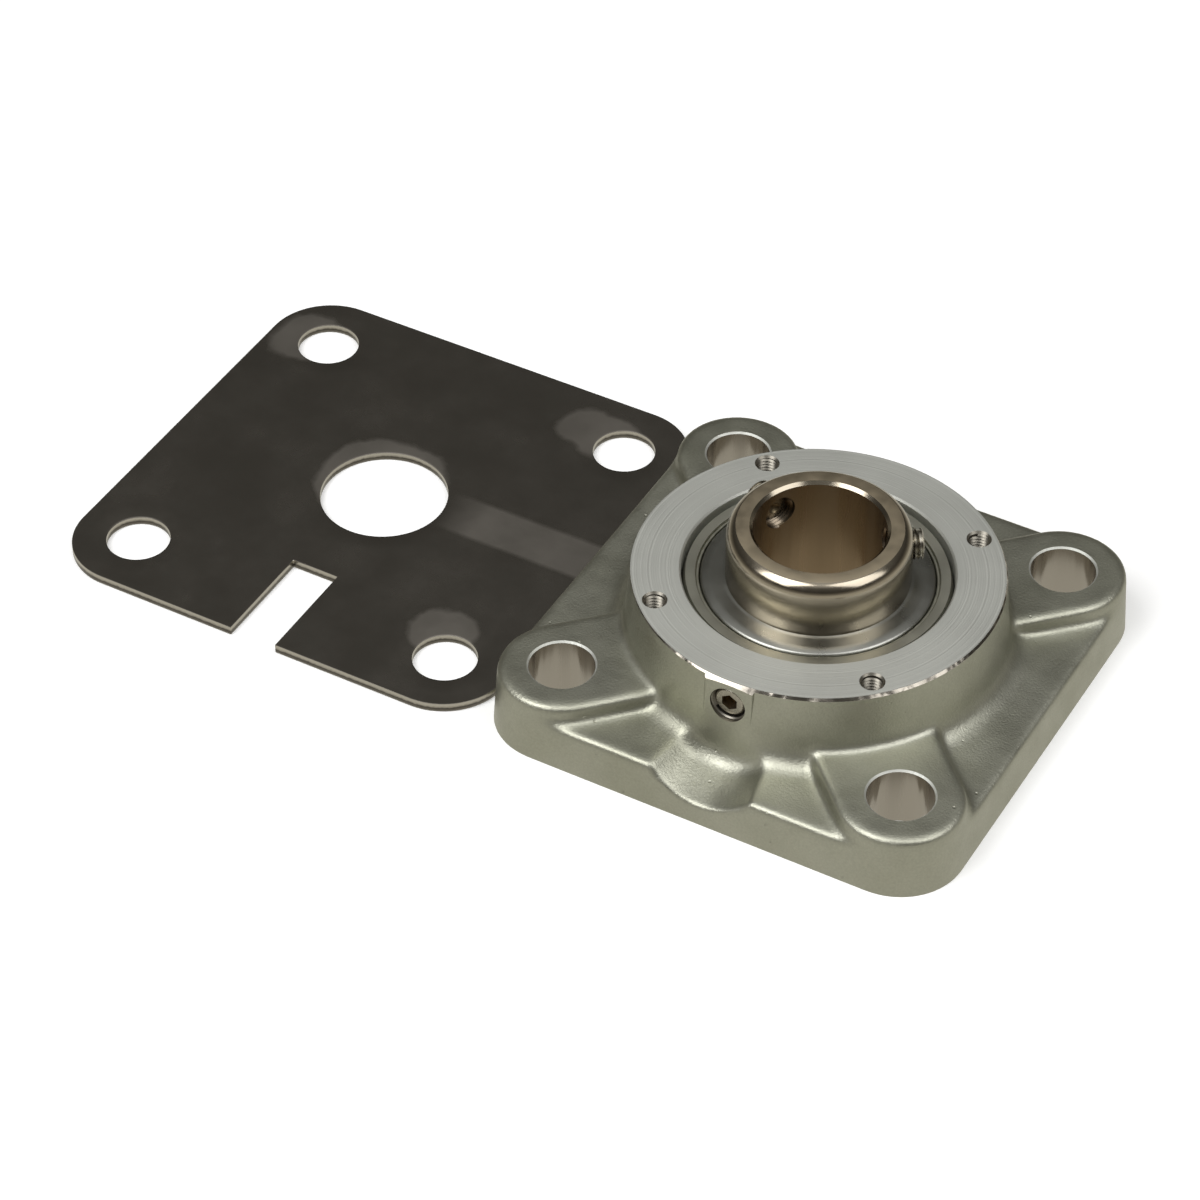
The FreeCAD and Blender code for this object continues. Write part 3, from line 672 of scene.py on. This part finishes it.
# Turned and rolled stainless: bright, with fine machining lines across the end face.
screw_stainless, tree, shader = bare_metal("rolled_stainless_screw", "#A8A397", 0.26)
place = add(tree, "ShaderNodeTexCoord").outputs["Object"]
tooling = add(tree, "ShaderNodeTexNoise", {"Vector": place, "Scale": 1000 / 0.6, "Detail": 2.0})
gloss = add(tree, "ShaderNodeMapRange", {"Value": tooling.outputs["Fac"], "From Min": 0.3, "From Max": 0.7,
                                         "To Min": 0.20, "To Max": 0.36})
tree.links.new(gloss.outputs[0], shader.inputs["Roughness"])
marks = add(tree, "ShaderNodeBump", {"Height": tooling.outputs["Fac"], "Strength": 0.2, "Distance": 0.00003})
tree.links.new(marks.outputs["Normal"], shader.inputs["Normal"])

# Broached socket: marked by the chatter of the cutter and patchy with oil, and darkened all over with
# painted shade.
socket_steel, tree, shader = bare_metal("broached_socket_painted_shade", "#9A8B74", 0.42)
place = add(tree, "ShaderNodeTexCoord").outputs["Object"]
chatter = add(tree, "ShaderNodeTexNoise", {"Vector": place, "Scale": 1000 / 0.4, "Detail": 3.0})
gloss = add(tree, "ShaderNodeMapRange", {"Value": chatter.outputs["Fac"], "From Min": 0.3, "From Max": 0.7,
                                         "To Min": 0.34, "To Max": 0.52})
tree.links.new(gloss.outputs[0], shader.inputs["Roughness"])
oil = add(tree, "ShaderNodeTexNoise", {"Vector": place, "Scale": 1000 / 1.5, "Detail": 2.0})
oily = add(tree, "ShaderNodeMapRange", {"Value": oil.outputs["Fac"], "From Min": 0.35, "From Max": 0.65})
# Both oil colours are kept dark with painted shade.
tint = add(tree, "ShaderNodeMix", {0: oily.outputs[0], 6: linear("#857860"), 7: linear("#A6967E")},
           data_type="RGBA")
tree.links.new(tint.outputs[2], shader.inputs["Base Color"])

for screw_name, angle in SCREW_TURNS.items():
    screw = headless_screw(SCREW_TIP, SCREW_END, SCREW_R, SCREW_PITCH, SOCKET_FLATS, SOCKET_DEPTH,
                           SCREW_CUP)
    piece(moved(screw, screw_place(angle)), screw_name + "_threaded", screw_name,
          [screw_name], [screw_stainless, socket_steel])

# ---------------------------------------------------------------- grease plug
# The same kind of stainless screw, shorter and with a coarser thread, closes the grease port in the boss.
# It is driven in until it stands just below the port's mouth.
PLUG_SUNK = 0.5
PLUG_LENGTH = 4.2
PLUG_CUP = 0.6
plug = headless_screw(-PLUG_SUNK - PLUG_LENGTH, -PLUG_SUNK, PLUG_R, PLUG_PITCH, SOCKET_FLATS, SOCKET_DEPTH,
                      PLUG_CUP)
piece(moved(plug, plug_place), "grease_plug_threaded", "grease_plug", ["grease_plug"],
      [screw_stainless, socket_steel])

# ---------------------------------------------------------------- outer ring
# Outer ring of hardened chrome steel, ground all over, with a ball-shaped outside that swivels in the
# housing's seat and a recess on each side for a seal.
OUTER_R = 26.0
OUTER_HALF = 8.0
OUTER_SHOULDER_R = 21.6
RECESS_R = 22.8
RECESS_Z = 5.4
ball_end = math.degrees(math.asin(OUTER_HALF / OUTER_R))
outer_end = math.degrees(math.atan2(GROOVE_HALF, OUTER_SHOULDER_R - PITCH_R))
outer = turned([(OUTER_SHOULDER_R, CENTRE_Z - RECESS_Z), (RECESS_R, CENTRE_Z - RECESS_Z),
                (RECESS_R, CENTRE_Z - OUTER_HALF, 0.2)]
               + arc_corners((0, CENTRE_Z), OUTER_R, -ball_end, ball_end, 20)
               + [(RECESS_R, CENTRE_Z + OUTER_HALF, 0.2), (RECESS_R, CENTRE_Z + RECESS_Z),
                  (OUTER_SHOULDER_R, CENTRE_Z + RECESS_Z)]
               + arc_corners((PITCH_R, CENTRE_Z), GROOVE_R, outer_end, -outer_end, 12), steps=192)

# Ground ring steel with a straw tint from its rust-preventing oil.
ring_steel, tree, shader = bare_metal("oiled_ground_ring_steel", "#B7B6A9", 0.42)
place = add(tree, "ShaderNodeTexCoord").outputs["Object"]
film = add(tree, "ShaderNodeTexNoise", {"Vector": place, "Scale": 1000 / 7.0, "Detail": 3.0})
gloss = add(tree, "ShaderNodeMapRange", {"Value": film.outputs["Fac"], "From Min": 0.3, "From Max": 0.7,
                                         "To Min": 0.36, "To Max": 0.50})
tree.links.new(gloss.outputs[0], shader.inputs["Roughness"])
piece(outer, "outer_ring_ground", "outer_ring", ["outer_ring"], [ring_steel])

# ---------------------------------------------------------------- seals
# On each side a pressed steel carrier sits in the outer ring's recess with its rim standing up, a black
# rubber lip is bonded to it, and a polished flinger pressed on the inner ring turns just above it.
SHIELD_SHEET = 0.6
SHIELD_INNER_R = 18.4
SHIELD_RIM_Z = 7.6
LIP_INNER_R = 17.08
LIP_OUTER_R = 19.6
FLINGER_R = 22.0
FLINGER_SHEET = 0.6


def seal_carrier():
    """Flat washer with its rim turned up."""
    rim_r = RECESS_R - SHIELD_SHEET
    top = RECESS_Z + SHIELD_SHEET
    return turned([(SHIELD_INNER_R, RECESS_Z, 0.1), (RECESS_R, RECESS_Z, 0.25),
                   (RECESS_R, SHIELD_RIM_Z, 0.22), (rim_r, SHIELD_RIM_Z, 0.22), (rim_r, top, 0.25),
                   (SHIELD_INNER_R, top, 0.1)])


def seal_lip():
    """Rubber ring that laps over the carrier's inner edge."""
    top = RECESS_Z + SHIELD_SHEET
    return turned([(LIP_INNER_R, RECESS_Z + 0.1, 0.1), (SHIELD_INNER_R, RECESS_Z + 0.1),
                   (SHIELD_INNER_R, top), (LIP_OUTER_R, top), (LIP_OUTER_R - 0.2, top + 0.35, 0.12),
                   (LIP_INNER_R + 0.5, top + 0.35, 0.15), (LIP_INNER_R, top, 0.1)])


def flinger():
    """Dished washer with a rolled rim that turns down over the carrier."""
    top = FLINGER_TOP
    low = top - 1.5
    under = top - FLINGER_SHEET
    return turned([(FLINGER_SEAT_R, low, 0.1), (FLINGER_SEAT_R + FLINGER_SHEET, low, 0.1),
                   (FLINGER_SEAT_R + FLINGER_SHEET, under, 0.2), (FLINGER_R - 1.3, under - 0.45, 0.3),
                   (FLINGER_R - FLINGER_SHEET, low + 0.1, 0.05), (FLINGER_R, low + 0.1, 0.1),
                   (FLINGER_R, top - 0.6, 0.5), (FLINGER_R - 1.6, top - 0.22, 0.4),
                   (FLINGER_SEAT_R + 0.9, top - 0.15, 0.3), (FLINGER_SEAT_R + 0.4, top, 0.15),
                   (FLINGER_SEAT_R, top)], steps=192)


# Pressed and tumbled sheet steel for the carrier: pale straw, between satin and bright.
carrier_steel, tree, shader = bare_metal("pressed_carrier_steel", "#BBBAAB", 0.42)
place = add(tree, "ShaderNodeTexCoord").outputs["Object"]
draw_lines = add(tree, "ShaderNodeTexNoise", {"Vector": place, "Scale": 1000 / 1.2, "Detail": 3.0})
gloss = add(tree, "ShaderNodeMapRange", {"Value": draw_lines.outputs["Fac"], "From Min": 0.3,
                                         "From Max": 0.7, "To Min": 0.36, "To Max": 0.50})
tree.links.new(gloss.outputs[0], shader.inputs["Roughness"])

# Pressed and barrelled steel: the flinger is cooler and darker than the ring, with a soft sheen.
flinger_steel, tree, shader = bare_metal("barrelled_flinger_steel", "#A0A09A", 0.32)
place = add(tree, "ShaderNodeTexCoord").outputs["Object"]
ripple = add(tree, "ShaderNodeTexNoise", {"Vector": place, "Scale": 1000 / 5.0, "Detail": 2.0})
gloss = add(tree, "ShaderNodeMapRange", {"Value": ripple.outputs["Fac"], "From Min": 0.3, "From Max": 0.7,
                                         "To Min": 0.26, "To Max": 0.38})
tree.links.new(gloss.outputs[0], shader.inputs["Roughness"])

# Moulded nitrile rubber: near black and matt, with a soft grain.
nitrile, tree, shader = bare_metal("moulded_nitrile_rubber", "#1C1B1A", 0.6)
shader.inputs["Metallic"].default_value = 0.0
place = add(tree, "ShaderNodeTexCoord").outputs["Object"]
skin = add(tree, "ShaderNodeTexNoise", {"Vector": place, "Scale": 1000 / 0.4, "Detail": 2.0})
marks = add(tree, "ShaderNodeBump", {"Height": skin.outputs["Fac"], "Strength": 0.3, "Distance": 0.00003})
tree.links.new(marks.outputs["Normal"], shader.inputs["Normal"])

for side, facing in (("front", 1), ("rear", -1)):
    settle = Matrix.Translation((0, 0, CENTRE_Z)) @ Matrix.Diagonal((1, 1, facing, 1))
    seal_parts = ((seal_carrier(), "_seal_shield", "outer_ring", "shield_steel", carrier_steel),
                  (seal_lip(), "_seal_lip", "outer_ring", "seal_rubber", nitrile),
                  (flinger(), "_flinger", "inner_ring", "flinger_steel", flinger_steel))
    for shape, kind, body, slot_name, finish in seal_parts:
        moved(shape, settle)
        bmesh.ops.recalc_face_normals(shape, faces=shape.faces)
        piece(shape, side + kind + "_pressed", body, [side + kind], [finish])

# ---------------------------------------------------------------- balls and cage
# Nine chrome steel balls ride in a ribbon cage of two pressed halves held by rivets. All of them are out
# of sight behind the seals, so they keep their plain shapes and only get their finishes here.

# Lapped balls: almost a mirror, with the faintest haze.
ball_steel, tree, shader = bare_metal("lapped_ball_steel", "#C9C8C6", 0.06)
place = add(tree, "ShaderNodeTexCoord").outputs["Object"]
haze = add(tree, "ShaderNodeTexNoise", {"Vector": place, "Scale": 1000 / 2.0, "Detail": 2.0})
gloss = add(tree, "ShaderNodeMapRange", {"Value": haze.outputs["Fac"], "To Min": 0.04, "To Max": 0.09})
tree.links.new(gloss.outputs[0], shader.inputs["Roughness"])

# Pressed and tumbled cage: a soft even sheen.
cage_steel, tree, shader = bare_metal("pressed_cage_steel", "#A8A398", 0.3)
place = add(tree, "ShaderNodeTexCoord").outputs["Object"]
tumbling = add(tree, "ShaderNodeTexNoise", {"Vector": place, "Scale": 1000 / 0.8, "Detail": 3.0})
gloss = add(tree, "ShaderNodeMapRange", {"Value": tumbling.outputs["Fac"], "To Min": 0.24, "To Max": 0.4})
tree.links.new(gloss.outputs[0], shader.inputs["Roughness"])

for name, node in frame["nodes"].items():
    if name.startswith("ball_") or name.startswith("cage_"):
        for holder in node.material_slots:
            holder.material = ball_steel if name.startswith("ball_") else cage_steel

# ---------------------------------------------------------------- backing plate
# Loose square of stainless sheet, punched and sheared: the holes draw the skin down round their rims,
# and each cut edge has a bright burnished band, with a painted highlight on it, above a rougher break.
PLATE_CENTRE = Vector(mounts["plate_bolts"]["pos_m"]) * 1000
PLATE_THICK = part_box("backing_plate")[1].z * 1000
PLATE_HOLE_R = mounts["plate_shaft_hole"]["dims"]["r_mm"]
NOTCH_HALF = 5.0
NOTCH_END = -25.6
DRAW_WIDTH = 4.0
DRAW_DEPTH = 0.13
WIPED_SPOTS = (((-40, 34.5), 8.5), ((29, 37), 8.0), ((25.5, 38), 7.0), ((31, -29), 7.5), ((-2.5, 2.5), 14.0))


def punch(radius):
    """Punch whose shallow shoulder also draws the top skin down round the hole."""
    shoulder = [(radius + DRAW_WIDTH * part, PLATE_THICK - DRAW_DEPTH * (1 - part) ** 1.6)
                for part in (0.0, 0.1, 0.25, 0.45, 0.7, 1.0)]
    return turned([(0, -1), (radius, -1)] + shoulder + [(radius + DRAW_WIDTH, 3), (0, 3)], steps=96,
                  material=1)


plate = block((-FLANGE / 2, -FLANGE / 2, 0), (FLANGE / 2, FLANGE / 2, PLATE_THICK))
upright = [edge for edge in plate.edges if abs(edge.verts[0].co.z - edge.verts[1].co.z) > 1]
bmesh.ops.bevel(plate, geom=upright, offset=CORNER_R, offset_type="OFFSET", segments=24, profile=0.5,
                affect="EDGES", material=-1)
plate = combined(plate, [moved(punch(BOLT_HOLE_R), Matrix.Translation(corner)) for corner in four_corners()]
                + [punch(PLATE_HOLE_R), block((-NOTCH_HALF, -FLANGE, -1), (NOTCH_HALF, NOTCH_END, 3), 1)])
for face in plate.faces:
    face.material_index = 1 if abs(face.normal.z) < 0.5 else 0
plate = after(plate, "BEVEL", width=0.14, segments=2, limit_method="ANGLE", angle_limit=math.radians(50))

# Cold-rolled stainless sheet: a dark mirror of the unlit room, with rolling lines along one side and a
# wiped streak that runs from the middle hole to the edge, and dull rings round some of the holes.
rolled_sheet, tree, shader = bare_metal("cold_rolled_stainless_sheet", "#8C8780", 0.24)
place = add(tree, "ShaderNodeTexCoord").outputs["Object"]
centred = add(tree, "ShaderNodeMapping", {"Vector": place, "Location": -PLATE_CENTRE / 1000})
split = add(tree, "ShaderNodeSeparateXYZ", {0: centred.outputs[0]})
rolling = add(tree, "ShaderNodeMapping", {"Vector": place, "Scale": (1000 / 12.0, 1000 / 0.5, 1.0)})
roll_lines = add(tree, "ShaderNodeTexNoise", {"Vector": rolling.outputs[0], "Scale": 1.0, "Detail": 3.0})
smudges = add(tree, "ShaderNodeTexNoise", {"Vector": place, "Scale": 1000 / 16.0, "Detail": 4.0,
                                           "Roughness": 0.65})
across = add(tree, "ShaderNodeMath", {0: split.outputs["Y"], 1: 0.002}, operation="SUBTRACT")
away = add(tree, "ShaderNodeMath", {0: across.outputs[0]}, operation="ABSOLUTE")
in_width = add(tree, "ShaderNodeMapRange", {"Value": away.outputs[0], "From Min": 0.0058,
                                            "From Max": 0.0046})
in_length = add(tree, "ShaderNodeMapRange", {"Value": split.outputs["X"], "From Min": 0.012,
                                             "From Max": 0.021})
streak = add(tree, "ShaderNodeMath", {0: in_width.outputs[0], 1: in_length.outputs[0]}, operation="MULTIPLY")
haze = add(tree, "ShaderNodeMapRange", {"Value": smudges.outputs["Fac"], "From Min": 0.35, "From Max": 0.7,
                                        "To Min": 0.20, "To Max": 0.30})
worn = streak.outputs[0]
for spot, spread in WIPED_SPOTS:
    centre = (spot[0] / 1000, spot[1] / 1000, 0)
    offset = add(tree, "ShaderNodeVectorMath", {0: centred.outputs[0], 1: centre}, operation="DISTANCE")
    ragged = add(tree, "ShaderNodeMath", {0: smudges.outputs["Fac"], 1: 0.008, 2: offset.outputs["Value"]},
                 operation="MULTIPLY_ADD")
    near = add(tree, "ShaderNodeMapRange", {"Value": ragged.outputs[0], "From Min": spread / 1000 + 0.004,
                                            "From Max": spread / 1000 + 0.0026})
    worn = add(tree, "ShaderNodeMath", {0: worn, 1: near.outputs[0]}, operation="MAXIMUM").outputs[0]
gloss = add(tree, "ShaderNodeMath", {0: worn, 1: 0.24, 2: haze.outputs[0]}, operation="MULTIPLY_ADD")
tree.links.new(gloss.outputs[0], shader.inputs["Roughness"])
marks = add(tree, "ShaderNodeBump", {"Height": roll_lines.outputs["Fac"], "Strength": 0.12,
                                     "Distance": 0.00002})
tree.links.new(marks.outputs["Normal"], shader.inputs["Normal"])

# Sheared edge: burnished near the punch side, torn and darker below, with a painted highlight along the
# bright top band and a line of painted shade at mid height.
sheared_edge, tree, shader = bare_metal("sheared_stainless_edge", "#A39E94", 0.24)
place = add(tree, "ShaderNodeTexCoord").outputs["Object"]
split = add(tree, "ShaderNodeSeparateXYZ", {0: place})
tear = add(tree, "ShaderNodeTexNoise", {"Vector": place, "Scale": 1000 / 0.7, "Detail": 3.0})
wobble = add(tree, "ShaderNodeMath", {0: tear.outputs["Fac"], 1: 0.0005, 2: split.outputs["Z"]},
             operation="MULTIPLY_ADD")
depth = add(tree, "ShaderNodeMapRange", {"Value": wobble.outputs[0], "From Min": 0.0, "From Max": 0.0022})
burnish_and_painted_light = add(tree, "ShaderNodeValToRGB", {0: depth.outputs[0]})
burnish_and_painted_light.color_ramp.elements[0].position = 0.25
burnish_and_painted_light.color_ramp.elements[0].color = linear("#77736B")
burnish_and_painted_light.color_ramp.elements[1].position = 0.75
burnish_and_painted_light.color_ramp.elements[1].color = linear("#B9B4AA")
# The dark stop at 0.48 is the line of painted shade; from 0.58 up the bright colour carries the painted
# highlight.
for position, colour in ((0.48, "#4A4641"), (0.58, "#99948A")):
    stop = burnish_and_painted_light.color_ramp.elements.new(position)
    stop.color = linear(colour)
tree.links.new(burnish_and_painted_light.outputs["Color"], shader.inputs["Base Color"])
marks = add(tree, "ShaderNodeBump", {"Height": tear.outputs["Fac"], "Strength": 0.5, "Distance": 0.00006})
tree.links.new(marks.outputs["Normal"], shader.inputs["Normal"])

plate_piece = piece(moved(plate, Matrix.Translation(PLATE_CENTRE)), "backing_plate_sheet", "backing_plate",
                    ["backing_plate"], [rolled_sheet, sheared_edge])
plate_piece.modifiers.new("flat_shading", "WEIGHTED_NORMAL").keep_sharp = True
